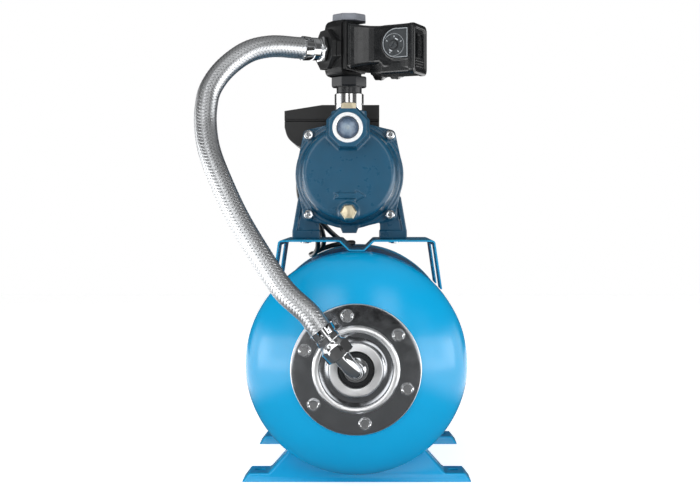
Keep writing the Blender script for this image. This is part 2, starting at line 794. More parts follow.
def build_platform(paints):
    """Bent sheet that carries the pump on top of the tank."""
    half = PLATFORM_WALL / 2
    top = PLATFORM_TOP_Z - half
    valley = TANK_TOP_Z + half + GAP
    reach = TANK_RADIUS + GAP + half
    leg_bottom_x = reach * math.cos(PLATFORM_LEG_ANGLE)
    leg_bottom_z = TANK_AXIS_Z + reach * math.sin(PLATFORM_LEG_ANGLE)
    right = [
        (VALLEY_BOTTOM_HALF, valley), (VALLEY_TOP_HALF, top),
        (PLATFORM_HALF_WIDTH - half, top), (leg_bottom_x + half, leg_bottom_z),
    ]
    path = [(-x, z) for x, z in right[::-1]] + right
    outline = bent_sheet(path, PLATFORM_BEND_RADIUS, PLATFORM_WALL)
    bm = bmesh.new()
    prism(bm, outline, -PLATFORM_BACK, -PLATFORM_FRONT)
    sheet = make("pump_platform", bm, paints["platform"], facing_front(0, 0, 0))
    window = bmesh.new()
    front = PLATFORM_FRONT + PLATFORM_FRONT_LEG
    back = PLATFORM_BACK - PLATFORM_REAR_LEG
    for side in (-1, 1):
        edges = sorted((side * (PLATFORM_HALF_WIDTH - 0.012), side * 0.125))
        block(window, edges[0], edges[1], TANK_AXIS_Z, top - 0.006, -back, -front)
    cut(sheet, window)
    holes = bmesh.new()
    for x in (PUMP_X - PUMP_BOLT_X, PUMP_X + PUMP_BOLT_X):
        at = standing(x, PUMP_BOLT_DEPTH, 0)
        at = facing_front(0, 0, 0).inverted() @ at
        cylinder(holes, PUMP_BOLT_RADIUS + THREAD_GAP, top - 0.01, top + 0.01, SMALL_STEPS, at)
    cut(sheet, holes)


def build_elbow(paints):
    """Chromed elbow from the water port to the hose, and the hose's lower fittings."""
    place = facing_front(0, 0, TANK_AXIS_Z)
    seat = FLANGE_PLANE + FLANGE_DISC_RISE - PORT_RECESS + GAP
    collar = 0.0022
    bend_start = ELBOW_DEPTH - ELBOW_BEND_RADIUS
    stations = [
        (seat - 0.014, ELBOW_TAIL_RADIUS), (seat, ELBOW_TAIL_RADIUS),
        (seat + WELD, ELBOW_COLLAR_RADIUS), (seat + collar, ELBOW_COLLAR_RADIUS),
        (seat + collar + 0.0012, ELBOW_TUBE_RADIUS + 0.0004),
    ]
    points = [Vector((0, 0, z)) for z, _ in stations]
    radii = [radius for _, radius in stations]
    steps = 8
    for i in range(steps + 1):
        angle = math.pi / 2 * i / steps
        points.append(Vector((0, 0, bend_start + ELBOW_BEND_RADIUS * math.sin(angle)))
                      + ELBOW_DIRECTION * ELBOW_BEND_RADIUS * (1 - math.cos(angle)))
        radii.append(ELBOW_TUBE_RADIUS)
    points.append(Vector((0, 0, ELBOW_DEPTH)) + ELBOW_DIRECTION * (HOSE_NUT_START + 0.012))
    radii.append(ELBOW_TUBE_RADIUS)
    bm = bmesh.new()
    sweep(bm, points, radii, TUBE_STEPS)
    make("tank_elbow", bm, paints["chrome"], place)

    toward_viewer = Vector((0, 0, 1))
    across = ELBOW_DIRECTION.cross(toward_viewer)
    turn = Matrix((toward_viewer, across, ELBOW_DIRECTION)).transposed().to_4x4()
    at = Matrix.Translation((0, 0, ELBOW_DEPTH)) @ turn
    ends = build_hose_end("hose_end_lower", HOSE_NUT_START, HOSE_NUT_LENGTH,
                          HOSE_FERRULE_LENGTH, place, at, paints)
    bore = bmesh.new()
    cylinder(bore, ELBOW_TUBE_RADIUS + GAP, HOSE_NUT_START - 0.002, HOSE_NUT_START + 0.013,
             TUBE_STEPS, at)
    cut(ends, bore)


def build_hose_end(name, start, nut_length, ferrule_length, place, at, paints):
    """Hexagon nut with the crimped ferrule that holds one end of the hose."""
    edge = 0.0012
    end = start + nut_length
    shoulder = nut_length * 0.28
    turned = at @ hexagon_turn()
    bm = bmesh.new()
    loft(bm, [
        round_loop(HOSE_NUT_ACROSS * 0.48, start),
        hex_loop(HOSE_NUT_ACROSS, start + edge),
        hex_loop(HOSE_NUT_ACROSS, end - shoulder),
        round_loop(HOSE_FERRULE_RADIUS - 0.0004, end - shoulder * 0.5),
        round_loop(HOSE_FERRULE_RADIUS - 0.0004, end),
    ], turned)
    fitting = make(name, bm, paints["chrome"], place)
    first = end - 0.002
    last = end + ferrule_length
    groove = 0.0006
    middle = (end + last) / 2
    ferrule = bmesh.new()
    lathe(ferrule, [
        (0, first), (HOSE_FERRULE_RADIUS - 0.002, first), (HOSE_FERRULE_RADIUS - 0.002, end + groove),
        (HOSE_FERRULE_RADIUS, end + 2 * groove), (HOSE_FERRULE_RADIUS, middle - 0.002),
        (HOSE_FERRULE_RADIUS - groove, middle - 0.001),
        (HOSE_FERRULE_RADIUS - groove, middle + 0.001), (HOSE_FERRULE_RADIUS, middle + 0.002),
        (HOSE_FERRULE_RADIUS, last - groove), (HOSE_FERRULE_RADIUS - groove, last), (0, last),
    ], TUBE_STEPS, at=at)
    add(fitting, ferrule)
    return fitting


def upward(x, y, z):
    """Frame inside a front-facing one whose +Z points up."""
    return Matrix.Translation((x, y, z)) @ Matrix.Rotation(math.radians(-90), 4, "X")


def casing_screw_frames(height):
    """Frames of the four casing screws, at a height in the pump's frame."""
    for x in (-CASING_SCREW_X, CASING_SCREW_X):
        for y in (-CASING_SCREW_Y, CASING_SCREW_Y):
            yield Matrix.Translation((x, y, height))


def screw_ears(low, high):
    """Four round ears round the casing screws."""
    bm = bmesh.new()
    for at in casing_screw_frames(0):
        cylinder(bm, EAR_RADIUS, low, high, SMALL_STEPS + 4, at)
    return bm


PUMP_PLACE = facing_front(PUMP_X, PUMP_FLANGE_DEPTH, PUMP_AXIS_Z)
BRACKET_FACE = -CASING_FLANGE_THICKNESS - GASKET_THICKNESS - 2 * GAP
BRACKET_BACK = BRACKET_FACE - BRACKET_THICKNESS
FOOT_BLOCK_LOW = PLATFORM_TOP_Z + GAP - PUMP_AXIS_Z
MOTOR_FRONT = -MOTOR_START
MOTOR_BACK = MOTOR_FRONT - MOTOR_LENGTH
SUCTION_BORE_START = DELIVERY_OFFSET + DELIVERY_BOSS_RADIUS
SUCTION_TOP = SUCTION_Y + SUCTION_ACROSS / 2


def build_casing(paints):
    """Cast pump casing: drafted pot, flange with ears, suction, delivery and drain bosses."""
    edge = 0.001
    inner_base = POT_BASE_RADIUS - POT_WALL
    inner_front = POT_FRONT_RADIUS - POT_WALL
    inner_end = POT_LENGTH - POT_WALL
    corner = arc(POT_FRONT_RADIUS - POT_EDGE_RADIUS, POT_LENGTH - POT_EDGE_RADIUS,
                 POT_EDGE_RADIUS, 90, 0, 3)
    profile = [(0, POT_LENGTH)] + corner
    profile += [
        (POT_BASE_RADIUS, 0.002), (POT_BASE_RADIUS + 0.002, 0), (CASING_FLANGE_RADIUS - edge, 0),
        (CASING_FLANGE_RADIUS, -edge), (CASING_FLANGE_RADIUS, -CASING_FLANGE_THICKNESS),
        (inner_base, -CASING_FLANGE_THICKNESS), (inner_front, inner_end - 0.004),
        (inner_front - 0.004, inner_end), (0, inner_end),
    ]
    bm = bmesh.new()
    lathe(bm, profile, TANK_STEPS)
    casing = make("pump_casing", bm, paints["pump"], PUMP_PLACE, sharp=40)

    add(casing, screw_ears(-CASING_FLANGE_THICKNESS, 0))
    bosses = bmesh.new()
    suction = Matrix.Translation((SUCTION_X, SUCTION_Y, 0))
    suction_back = DELIVERY_OFFSET + NIPPLE_RADIUS + 0.001
    prism(bosses, regular(8, SUCTION_ACROSS), suction_back, SUCTION_FACE, suction)
    add(casing, bosses)
    ring = bmesh.new()
    cylinder(ring, SUCTION_RING_RADIUS, SUCTION_FACE - 0.002, SUCTION_FACE + SUCTION_RING_RISE,
             BODY_STEPS, suction)
    add(casing, ring)
    delivery = bmesh.new()
    cylinder(delivery, DELIVERY_BOSS_RADIUS, inner_base - 0.004, DELIVERY_TOP, TUBE_STEPS,
             upward(0, 0, DELIVERY_OFFSET))
    add(casing, delivery)
    drain = bmesh.new()
    cylinder(drain, DRAIN_BOSS_RADIUS, inner_end - 0.002, POT_LENGTH + DRAIN_BOSS_RISE, TUBE_STEPS,
             Matrix.Translation((0, DRAIN_Y, 0)))
    add(casing, drain)
    lip = bmesh.new()
    low = -LIP_BOTTOM
    high = -CASING_FLANGE_RADIUS + 0.004
    outline = ((-LIP_HALF_BOTTOM, low), (LIP_HALF_BOTTOM, low), (LIP_HALF_TOP, high),
               (-LIP_HALF_TOP, high))
    prism(lip, outline, -CASING_FLANGE_THICKNESS, edge)
    add(casing, lip)

    arrow = bmesh.new()
    prism(arrow, ARROW_OUTLINE, POT_LENGTH - edge, POT_LENGTH + ARROW_RISE)
    add(casing, arrow)

    for at in casing_screw_frames(0):
        screw = bmesh.new()
        socket_screw(screw, at, CASING_SCREW_RADIUS, 0.002, CASING_SCREW_HEAD_RADIUS,
                     CASING_SCREW_HEAD, CASING_SCREW_SOCKET)
        add(casing, screw)
    bores = bmesh.new()
    cylinder(bores, SUCTION_BORE_RADIUS, SUCTION_BORE_START, SUCTION_FACE + 0.004, BODY_STEPS,
             suction)
    cut(casing, bores)
    passage = bmesh.new()
    passage_radius = SUCTION_BORE_RADIUS * 0.68
    passage_y = inner_front - passage_radius - 0.001
    cylinder(passage, passage_radius, SUCTION_BORE_START - 0.010, SUCTION_BORE_START + 0.003,
             TUBE_STEPS, Matrix.Translation((SUCTION_X, passage_y, 0)))
    cut(casing, passage)
    thread = bmesh.new()
    lathe(thread, [
        (0, inner_base - 0.016), (DELIVERY_BORE_RADIUS * 0.7, inner_base - 0.016),
        (DELIVERY_BORE_RADIUS * 0.7, POT_BASE_RADIUS), (DELIVERY_BORE_RADIUS, POT_BASE_RADIUS),
        (DELIVERY_BORE_RADIUS, DELIVERY_TOP + 0.002), (0, DELIVERY_TOP + 0.002),
    ], TUBE_STEPS, at=upward(0, 0, DELIVERY_OFFSET))
    cut(casing, thread)
    filling = bmesh.new()
    cylinder(filling, PRIMING_BORE_RADIUS, SUCTION_Y, SUCTION_TOP + 0.003, TUBE_STEPS,
             upward(0, 0, PRIMING_OFFSET))
    cut(casing, filling)
    drain_bore = bmesh.new()
    cylinder(drain_bore, DRAIN_BORE_RADIUS, inner_end - 0.004, POT_LENGTH + DRAIN_BOSS_RISE + 0.002,
             TUBE_STEPS, Matrix.Translation((0, DRAIN_Y, 0)))
    cut(casing, drain_bore)


def build_casing_fittings(paints):
    """Plugs, transit cap and gasket of the casing."""
    bm = bmesh.new()
    at = Matrix.Translation((0, DRAIN_Y, POT_LENGTH + DRAIN_BOSS_RISE + GAP))
    hex_bolt(bm, at, DRAIN_BORE_RADIUS - GAP, DRAIN_BOSS_RISE + POT_WALL, DRAIN_ACROSS, 0.0075,
             DRAIN_ACROSS * 0.56, 0.0012)
    make("drain_plug", bm, paints["brass"], PUMP_PLACE)

    bm = bmesh.new()
    at = upward(0, SUCTION_TOP + GAP, PRIMING_OFFSET)
    hex_bolt(bm, at, PRIMING_BORE_RADIUS - GAP, SUCTION_ACROSS / 2 - SUCTION_BORE_RADIUS - 0.001,
             0.010, 0.003, PRIMING_RADIUS, 0.0024)
    make("priming_plug", bm, paints["brass"], PUMP_PLACE)

    outer = SUCTION_BORE_RADIUS - GAP
    face = SUCTION_FACE + SUCTION_RING_RISE - 0.003
    wall = 0.0013
    bm = bmesh.new()
    lathe(bm, [
        (0, face - 0.003), (outer * 0.8, face - 0.0015), (outer - 0.0006, face),
        (outer, face - 0.0006), (outer, face - 0.013), (outer - wall, face - 0.013),
        (outer - wall, face - 0.0015 - wall * 1.5), (0, face - 0.003 - wall),
    ], BODY_STEPS, at=Matrix.Translation((SUCTION_X, SUCTION_Y, 0)))
    make("suction_cap", bm, paints["clear_cap"], PUMP_PLACE)

    front = -CASING_FLANGE_THICKNESS - GAP
    back = front - GASKET_THICKNESS
    bm = bmesh.new()
    lathe(bm, [(GASKET_INNER, front), (GASKET_OUTER, front), (GASKET_OUTER, back),
               (GASKET_INNER, back)], BODY_STEPS, loop=True)
    make("casing_gasket", bm, paints["rubber"], PUMP_PLACE)


def build_hydraulics(paints, rotor):
    """Diffuser, ejector, impeller and the turning half of the shaft seal."""
    front = IMPELLER_BACK + IMPELLER_WIDTH
    plate = front + DIFFUSER_CLEARANCE
    rim = IMPELLER_RADIUS + DIFFUSER_CLEARANCE
    hub = EJECTOR_RADIUS + DIFFUSER_WALL + GAP
    eye = IMPELLER_EYE_RADIUS * 0.8
    bm = bmesh.new()
    lathe(bm, [
        (rim, IMPELLER_BACK - 0.002), (rim + DIFFUSER_WALL, IMPELLER_BACK - 0.002),
        (rim + DIFFUSER_WALL, plate + DIFFUSER_WALL), (hub, plate + DIFFUSER_WALL),
        (hub, plate + DIFFUSER_WALL + 0.006), (EJECTOR_RADIUS + GAP, plate + DIFFUSER_WALL + 0.006),
        (EJECTOR_RADIUS + GAP, plate + DIFFUSER_WALL), (eye, plate + DIFFUSER_WALL), (eye, plate),
        (rim, plate),
    ], BODY_STEPS, loop=True)
    make("diffuser", bm, paints["plastic_grey"], PUMP_PLACE)

    start = plate + DIFFUSER_WALL + GAP
    end = start + EJECTOR_LENGTH
    throat = EJECTOR_RADIUS * 0.42
    bm = bmesh.new()
    lathe(bm, [
        (EJECTOR_RADIUS, start), (EJECTOR_RADIUS, end), (EJECTOR_RADIUS * 0.8, end),
        (throat, end - 0.008), (throat, end - 0.012), (EJECTOR_RADIUS * 0.75, start),
    ], TUBE_STEPS, loop=True)
    make("ejector_body", bm, paints["plastic_grey"], PUMP_PLACE)

    build_impeller(paints, rotor)

    seal_front = IMPELLER_BACK - GAP
    seal_face = BRACKET_FACE - SEAL_DEPTH
    bm = bmesh.new()
    inner = SHAFT_SEAL_RADIUS + GAP
    lathe(bm, [
        (inner, seal_front), (0.0115, seal_front), (0.0125, seal_front - 0.002),
        (0.0125, seal_front - 0.006), (0.0105, seal_front - 0.007), (0.0105, seal_face),
        (inner, seal_face),
    ], TUBE_STEPS, loop=True)
    make("shaft_seal", bm, paints["rubber"], PUMP_PLACE, rotor)


def build_impeller(paints, rotor):
    """Closed radial impeller: two shrouds, a hub and back-swept vanes between them."""
    back = IMPELLER_BACK
    front = back + IMPELLER_WIDTH
    bore = SHAFT_SEAL_RADIUS + GAP
    bm = bmesh.new()
    lathe(bm, [
        (bore, back), (IMPELLER_RADIUS, back), (IMPELLER_RADIUS, back + SHROUD_THICKNESS),
        (IMPELLER_HUB_RADIUS + 0.002, back + SHROUD_THICKNESS),
        (IMPELLER_HUB_RADIUS, back + SHROUD_THICKNESS + 0.003),
        (IMPELLER_HUB_RADIUS, front - 0.002), (bore, front - 0.002),
    ], BODY_STEPS, loop=True)
    impeller = make("impeller", bm, paints["plastic_grey"], PUMP_PLACE, rotor)
    cover = bmesh.new()
    lathe(cover, [
        (IMPELLER_EYE_RADIUS, front - SHROUD_THICKNESS), (IMPELLER_RADIUS, front - SHROUD_THICKNESS),
        (IMPELLER_RADIUS, front - 0.0005), (IMPELLER_EYE_RADIUS + 0.002, front),
        (IMPELLER_EYE_RADIUS, front),
    ], BODY_STEPS, loop=True)
    vanes = bmesh.new()
    steps = 4
    root = IMPELLER_EYE_RADIUS + 0.0006
    tip = IMPELLER_RADIUS - 0.0006
    for k in range(VANE_COUNT):
        phase = 2 * math.pi * k / VANE_COUNT
        centre = []
        for i in range(steps + 1):
            t = i / steps
            radius = root + (tip - root) * t
            angle = phase - VANE_SWEEP * t
            centre.append(Vector((radius * math.cos(angle), radius * math.sin(angle))))
        left, right = [], []
        for i, point in enumerate(centre):
            run = (centre[min(i + 1, steps)] - centre[max(i - 1, 0)]).normalized()
            side = Vector((-run.y, run.x)) * VANE_THICKNESS / 2
            left.append(tuple(point + side))
            right.append(tuple(point - side))
        prism(vanes, left + right[::-1], back + SHROUD_THICKNESS / 2, front - SHROUD_THICKNESS / 2)
    add(impeller, vanes)
    add(impeller, cover)


def build_bracket(paints):
    """Cast lantern between casing and motor, with the bearing seat and the pump's two feet."""
    hub_back = MOTOR_FRONT - BEARING_WIDTH - 0.001
    seal_bore = 0.0135
    seat_bore = SHAFT_SEAL_RADIUS + 0.0012
    bearing_bore = BEARING_OUTER_RADIUS + GAP
    bell = MOTOR_RADIUS + 0.001
    bm = bmesh.new()
    lathe(bm, [
        (seal_bore, BRACKET_FACE), (CASING_FLANGE_RADIUS, BRACKET_FACE),
        (CASING_FLANGE_RADIUS, BRACKET_BACK), (bell + 0.005, BRACKET_BACK - 0.002),
        (bell, MOTOR_FRONT + GAP), (bell - 0.005, MOTOR_FRONT + GAP),
        (bell - 0.001, BRACKET_BACK - 0.002), (BRACKET_HUB_RADIUS, BRACKET_BACK),
        (BRACKET_HUB_RADIUS, hub_back), (bearing_bore, hub_back), (bearing_bore, MOTOR_FRONT),
        (0.010, MOTOR_FRONT), (0.010, BRACKET_FACE - 0.0115), (seat_bore, BRACKET_FACE - 0.0115),
        (seat_bore, BRACKET_FACE - SEAL_DEPTH - GAP), (seal_bore, BRACKET_FACE - SEAL_DEPTH - GAP),
    ], BODY_STEPS + 4, loop=True)
    bracket = make("motor_bracket", bm, paints["pump"], PUMP_PLACE, sharp=40)
    add(bracket, screw_ears(BRACKET_BACK, BRACKET_FACE))

    low = FOOT_BLOCK_LOW
    high = low + FOOT_BLOCK_HEIGHT
    wall = 0.006
    back = -FOOT_BLOCK_BACK
    for side in (-1, 1):
        feet = bmesh.new()
        edges = sorted((side * FOOT_BLOCK_INNER, side * FOOT_BLOCK_OUTER))
        block(feet, edges[0], edges[1], low, high, back, BRACKET_FACE)
        add(bracket, feet)
        rib = bmesh.new()
        outline = [
            (side * FOOT_BLOCK_OUTER, high - 0.002), (side * (FOOT_BLOCK_OUTER - 0.008), -0.028),
            (side * (FOOT_BLOCK_OUTER - 0.014), -0.032), (side * (FOOT_BLOCK_OUTER - wall), high - 0.002),
        ]
        prism(rib, outline, back + 0.004, BRACKET_FACE)
        add(bracket, rib)
        web = bmesh.new()
        outline = [
            (side * (FOOT_BLOCK_INNER + 0.001), high - 0.001),
            (side * (FOOT_BLOCK_OUTER - 0.001), high - 0.001),
            (side * (FOOT_BLOCK_OUTER - 0.009), -0.029), (side * FOOT_BLOCK_INNER, -0.050),
        ]
        prism(web, outline, BRACKET_BACK + 0.001, BRACKET_FACE - 0.002)
        add(bracket, web)
    cut(bracket, pump_bolt_holes(low - 0.002, high + 0.002))


def pump_bolt_frames(height):
    """Upright frames of the two bolts through the pump's feet, in the pump's frame."""
    for side in (-1, 1):
        yield upward(side * PUMP_BOLT_X, height, PUMP_FLANGE_DEPTH - PUMP_BOLT_DEPTH)


def pump_bolt_holes(low, high):
    """Cutter for the bolt holes of the pump's feet."""
    bm = bmesh.new()
    for at in pump_bolt_frames(0):
        cylinder(bm, PUMP_BOLT_RADIUS + THREAD_GAP, low, high, SMALL_STEPS, at)
    return bm


def build_pump_fixing(paints):
    """Bolts with their nuts, which hold the pump on the platform."""
    seat = FOOT_BLOCK_LOW + FOOT_BLOCK_HEIGHT + GAP
    sheet_low = PLATFORM_TOP_Z - PLATFORM_WALL - PUMP_AXIS_Z
    grip = seat - sheet_low + GAP
    for i, at in enumerate(pump_bolt_frames(seat)):
        bm = bmesh.new()
        hex_bolt(bm, Matrix(), PUMP_BOLT_RADIUS, grip + PUMP_NUT_HEIGHT + 0.001,
                 PUMP_BOLT_ACROSS, 0.0053, PUMP_BOLT_ACROSS * 0.63, 0.0014)
        bolt = make(f"platform_bolt_{i + 1}", bm, paints["zinc"], PUMP_PLACE @ at)
        nut = bmesh.new()
        prism(nut, regular(6, PUMP_BOLT_ACROSS), -grip - PUMP_NUT_HEIGHT, -grip)
        add(bolt, nut)


def bearing(bm, front):
    """Shielded ball bearing as one ring, from its front face."""
    back = front - BEARING_WIDTH
    inner = SHAFT_BEARING_RADIUS + GAP
    outer = BEARING_OUTER_RADIUS
    race = 0.0022
    dip = 0.0004
    lathe(bm, [
        (inner, front), (inner + race, front), (outer - race, front - dip), (outer, front),
        (outer, back), (outer - race, back + dip), (inner + race, back), (inner, back),
    ], TUBE_STEPS, loop=True)


def build_motor(paints, rotor):
    """Finned motor with shaft, bearings, rotor, stator, end shield, fan and fan cover."""
    inner = MOTOR_RADIUS - MOTOR_WALL
    pitch = 2 * math.pi / MOTOR_FIN_COUNT
    crest = MOTOR_RADIUS + MOTOR_FIN_HEIGHT
    outline = []
    for i in range(MOTOR_FIN_COUNT):
        for share, radius in ((-0.2, MOTOR_RADIUS), (-0.12, crest), (0.12, crest),
                              (0.2, MOTOR_RADIUS)):
            angle = (i + share) * pitch
            outline.append((radius * math.cos(angle), radius * math.sin(angle)))
    bm = bmesh.new()
    prism(bm, outline, MOTOR_BACK, MOTOR_FRONT)
    housing = make("motor_housing", bm, paints["pump"], PUMP_PLACE)
    bore = bmesh.new()
    cylinder(bore, inner, MOTOR_BACK - 0.002, MOTOR_FRONT + 0.002, BODY_STEPS)
    cut(housing, bore)

    bearing_back = MOTOR_BACK - 2 * GAP - BEARING_WIDTH
    shoulder = bearing_back - GAP
    hub_back = shoulder - 0.0015
    seat = BEARING_OUTER_RADIUS + GAP
    bm = bmesh.new()
    face = MOTOR_BACK - GAP
    lathe(bm, [
        (seat, face), (crest - GAP, face), (crest - GAP, face - 0.005), (MOTOR_RADIUS, face - 0.005),
        (MOTOR_RADIUS - 0.002, face - END_SHIELD_THICKNESS),
        (seat + 0.006, face - END_SHIELD_THICKNESS), (seat + 0.005, hub_back), (0.010, hub_back),
        (0.010, shoulder), (seat, shoulder),
    ], BODY_STEPS, loop=True)
    make("motor_end_shield", bm, paints["aluminium"], PUMP_PLACE)

    for name, front in (("front_bearing", MOTOR_FRONT - GAP), ("rear_bearing", MOTOR_BACK - 2 * GAP)):
        bm = bmesh.new()
        bearing(bm, front)
        make(name, bm, paints["bright_steel"], PUMP_PLACE)

    front_end = IMPELLER_BACK + IMPELLER_WIDTH + 0.001
    core_start = MOTOR_FRONT - BEARING_WIDTH - 0.0015
    core_end = MOTOR_BACK + 0.005
    fan_start = hub_back - 0.0015
    fan_end = fan_start - 0.018
    low = -CORE_CENTRE - CORE_LENGTH / 2
    high = -CORE_CENTRE + CORE_LENGTH / 2
    ring = 0.006
    bm = bmesh.new()
    lathe(bm, [
        (0, front_end), (SHAFT_SEAL_RADIUS, front_end), (SHAFT_SEAL_RADIUS, MOTOR_FRONT + 0.0015),
        (SHAFT_BEARING_RADIUS, MOTOR_FRONT + 0.0015), (SHAFT_BEARING_RADIUS, core_start),
        (SHAFT_CORE_RADIUS, core_start), (SHAFT_CORE_RADIUS, high + ring),
        (ROTOR_RADIUS - 0.004, high + ring), (ROTOR_RADIUS - 0.003, high), (ROTOR_RADIUS, high),
        (ROTOR_RADIUS, low), (ROTOR_RADIUS - 0.003, low), (ROTOR_RADIUS - 0.004, low - ring),
        (SHAFT_CORE_RADIUS, low - ring), (SHAFT_CORE_RADIUS, core_end),
        (SHAFT_BEARING_RADIUS, core_end), (SHAFT_BEARING_RADIUS, hub_back + 0.0005),
        (SHAFT_FAN_RADIUS, hub_back - 0.0005), (SHAFT_FAN_RADIUS, fan_end - 0.002),
        (0, fan_end - 0.002),
    ], TUBE_STEPS)
    make("rotor_shaft", bm, paints["bright_steel"], PUMP_PLACE, rotor)

    bore_radius = (ROTOR_RADIUS + AIR_GAP) / math.cos(math.pi / BODY_STEPS)
    outer = inner - GAP
    overhang = WINDING_OVERHANG
    bm = bmesh.new()
    lathe(bm, [
        (bore_radius, high), (bore_radius + 0.004, high), (bore_radius + 0.004, high + overhang * 0.75),
        (bore_radius + 0.007, high + overhang), (outer - 0.006, high + overhang),
        (outer - 0.003, high + overhang * 0.75), (outer - 0.003, high), (outer, high),
        (outer, low), (outer - 0.003, low), (outer - 0.003, low - overhang * 0.75),
        (outer - 0.006, low - overhang), (bore_radius + 0.007, low - overhang),
        (bore_radius + 0.004, low - overhang * 0.75), (bore_radius + 0.004, low),
        (bore_radius, low),
    ], BODY_STEPS, loop=True)
    make("stator", bm, paints["copper"], PUMP_PLACE)

    bm = bmesh.new()
    hub = SHAFT_FAN_RADIUS + 0.006
    plate_back = fan_start - 0.004
    fan_bore = SHAFT_FAN_RADIUS + GAP
    lathe(bm, [
        (fan_bore, fan_start), (hub, fan_start), (hub, fan_start - 0.002),
        (FAN_RADIUS - 0.002, fan_start - 0.002), (FAN_RADIUS - 0.002, plate_back),
        (hub, plate_back), (hub, fan_end), (fan_bore, fan_end),
    ], BODY_STEPS, loop=True)
    fan = make("cooling_fan", bm, paints["black"], PUMP_PLACE, rotor)
    blades = bmesh.new()
    for i in range(FAN_BLADES):
        at = Matrix.Rotation(2 * math.pi * i / FAN_BLADES, 4, "Z")
        block(blades, hub + 0.004, FAN_RADIUS, -0.001, 0.001, fan_end + 0.001, plate_back + 0.001, at)
    add(fan, blades)

    cover_end = MOTOR_BACK - FAN_COVER_LENGTH
    cup = FAN_COVER_RADIUS - FAN_COVER_WALL
    round_off = 0.006
    outer_corner = arc(FAN_COVER_RADIUS - round_off, cover_end + round_off, round_off, 0, -90, 3)
    inner_round = round_off - FAN_COVER_WALL
    inner_corner = arc(cup - inner_round, cover_end + round_off, inner_round, -90, 0, 3)
    lip = MOTOR_BACK - 2 * GAP
    bm = bmesh.new()
    profile = [(0, cover_end)] + outer_corner[::-1] + [(FAN_COVER_RADIUS, lip), (cup, lip)]
    profile += inner_corner[::-1] + [(0, cover_end + FAN_COVER_WALL)]
    lathe(bm, profile, BODY_STEPS)
    cover = make("fan_cover", bm, paints["black"], PUMP_PLACE)
    slots = bmesh.new()
    slot_count = 10
    for i in range(slot_count):
        at = Matrix.Rotation(2 * math.pi * i / slot_count, 4, "Z")
        block(slots, 0.020, 0.050, -0.0021, 0.0021, cover_end - 0.002, cover_end + 0.003, at)
    cut(cover, slots)


def build_terminal_box(paints):
    """Terminal box with its lid, capacitor, terminal board and cable gland."""
    start = PUMP_FLANGE_DEPTH - BOX_START
    end = start - BOX_LENGTH
    seam = BOX_LID_Z - PUMP_AXIS_Z
    top = BOX_TOP_Z - PUMP_AXIS_Z
    top_left = BOX_TOP_LEFT_Z - PUMP_AXIS_Z
    saddle = MOTOR_RADIUS + MOTOR_FIN_HEIGHT + GAP
    bulge = [(BOX_LEFT, seam - 0.0085), (BOX_LEFT + 0.0035, 0.0525), (BOX_LEFT + 0.0095, 0.0450),
             (BOX_LEFT + 0.018, 0.0395), (BOX_LEFT + 0.027, 0.0370)]
    base = [(BOX_RIGHT, seam), (BOX_LEFT, seam)] + bulge + [(-0.030, 0.032), (BOX_RIGHT, 0.046)]
    bm = bmesh.new()
    prism(bm, base, end, start)
    box = make("terminal_box", bm, paints["black"], PUMP_PLACE)
    motor = bmesh.new()
    cylinder(motor, saddle / math.cos(math.pi / TANK_STEPS), end - 0.002, start + 0.002, TANK_STEPS)
    cut(box, motor)
    wall = BOX_WALL
    cavity = bmesh.new()
    inner_bulge = [(x + wall, y + wall * 0.9) for x, y in bulge]
    inner_bulge[0] = (BOX_LEFT + wall, seam + 0.002)
    outline = [(BOX_RIGHT - wall, seam + 0.002)] + inner_bulge
    outline += [(-0.048, 0.052), (-0.036, saddle + wall), (BOX_RIGHT - wall, saddle + wall)]
    prism(cavity, outline, end + wall, start - wall)
    cut(box, cavity)

    edge = 0.0025
    lid_low = seam + GAP
    slope_x = BOX_LEFT + 0.050
    profile = [(BOX_RIGHT, lid_low), (BOX_RIGHT, top - edge), (BOX_RIGHT - edge, top),
               (slope_x, top), (BOX_LEFT + edge, top_left), (BOX_LEFT, top_left - edge),
               (BOX_LEFT, lid_low)]
    bm = bmesh.new()
    prism(bm, profile, end - 0.0005, start + 0.0005)
    lid = make("terminal_box_lid", bm, paints["black"], PUMP_PLACE)
    cavity = bmesh.new()
    prism(cavity, [(BOX_RIGHT - wall, lid_low - 0.002), (BOX_RIGHT - wall, top - wall),
                   (slope_x, top - wall), (BOX_LEFT + wall, top_left - wall),
                   (BOX_LEFT + wall, lid_low - 0.002)], end + wall, start - wall)
    cut(lid, cavity)

    bm = bmesh.new()
    cylinder(bm, CAPACITOR_RADIUS, end + 0.025, start - 0.020, TUBE_STEPS,
             Matrix.Translation((BOX_LEFT + CAPACITOR_INSET, CAPACITOR_Y, 0)))
    make("capacitor", bm, paints["plastic_grey"], PUMP_PLACE)

    floor = saddle + wall
    board = bmesh.new()
    block(board, -0.028, 0.022, floor - 0.001, floor + 0.005, end + 0.035, start - 0.035)
    add(box, board)

    at = Matrix.Translation((BOX_LEFT + CAPACITOR_INSET, CAPACITOR_Y, end - GAP))
    at = at @ Matrix.Rotation(math.pi, 4, "X")
    bm = bmesh.new()
    gland(bm, at)
    make("motor_gland", bm, paints["black"], PUMP_PLACE)


GLAND_LENGTH = 0.014
GLAND_RADIUS = 0.0085


def gland(bm, at, root=0.0):
    """Cable gland: hexagon body and domed nut, pointing along +Z from a root in the wall."""
    loft(bm, [
        hex_loop(GLAND_RADIUS * 1.8, 0),
        hex_loop(GLAND_RADIUS * 1.8, root + 0.004),
        round_loop(GLAND_RADIUS * 0.88, root + 0.0045),
        round_loop(GLAND_RADIUS * 0.88, root + GLAND_LENGTH - 0.003),
        round_loop(GLAND_RADIUS * 0.60, root + GLAND_LENGTH),
    ], at)


